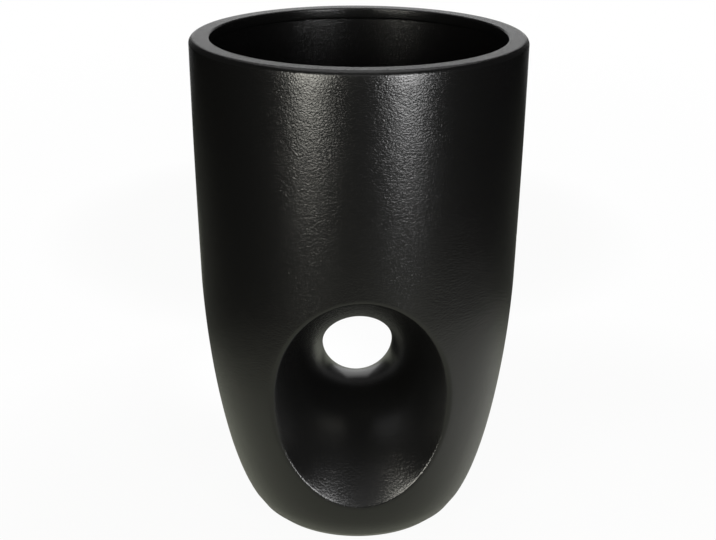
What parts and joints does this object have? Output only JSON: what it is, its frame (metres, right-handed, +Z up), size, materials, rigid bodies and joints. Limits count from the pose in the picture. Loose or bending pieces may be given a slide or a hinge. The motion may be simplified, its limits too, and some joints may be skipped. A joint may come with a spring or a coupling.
{
  "type": "flower pot",
  "caption": "Tall round plastic flower pot with a folded rim, a belly drawn in to a small foot, an hourglass tunnel through its lower half and a drain plug in the floor.",
  "frame": {"origin": "centre of the standing ring, on the ground", "axes": "+Z up along the pot's axis, -Y towards the front mouth of the tunnel, which runs along Y, +X to the right seen from the front"},
  "size_m": [0.3399, 0.34, 0.52],
  "materials": {
    "pot_plastic": "pebbled satin black polyethylene",
    "plug_plastic": "smooth matt black polypropylene",
    "seal_rubber": "matt black moulded rubber"
  },
  "bodies": {
    "shell": {"pot_shell": "pot_plastic"},
    "plug": {"drain_plug": "plug_plastic", "plug_seal": "seal_rubber"}
  },
  "joints": [
    {"name": "drain_plug_lift", "type": "slide", "parent": "shell", "child": "plug", "axis": [0, 0, 1], "range_m": [0, 0.06]}
  ]
}
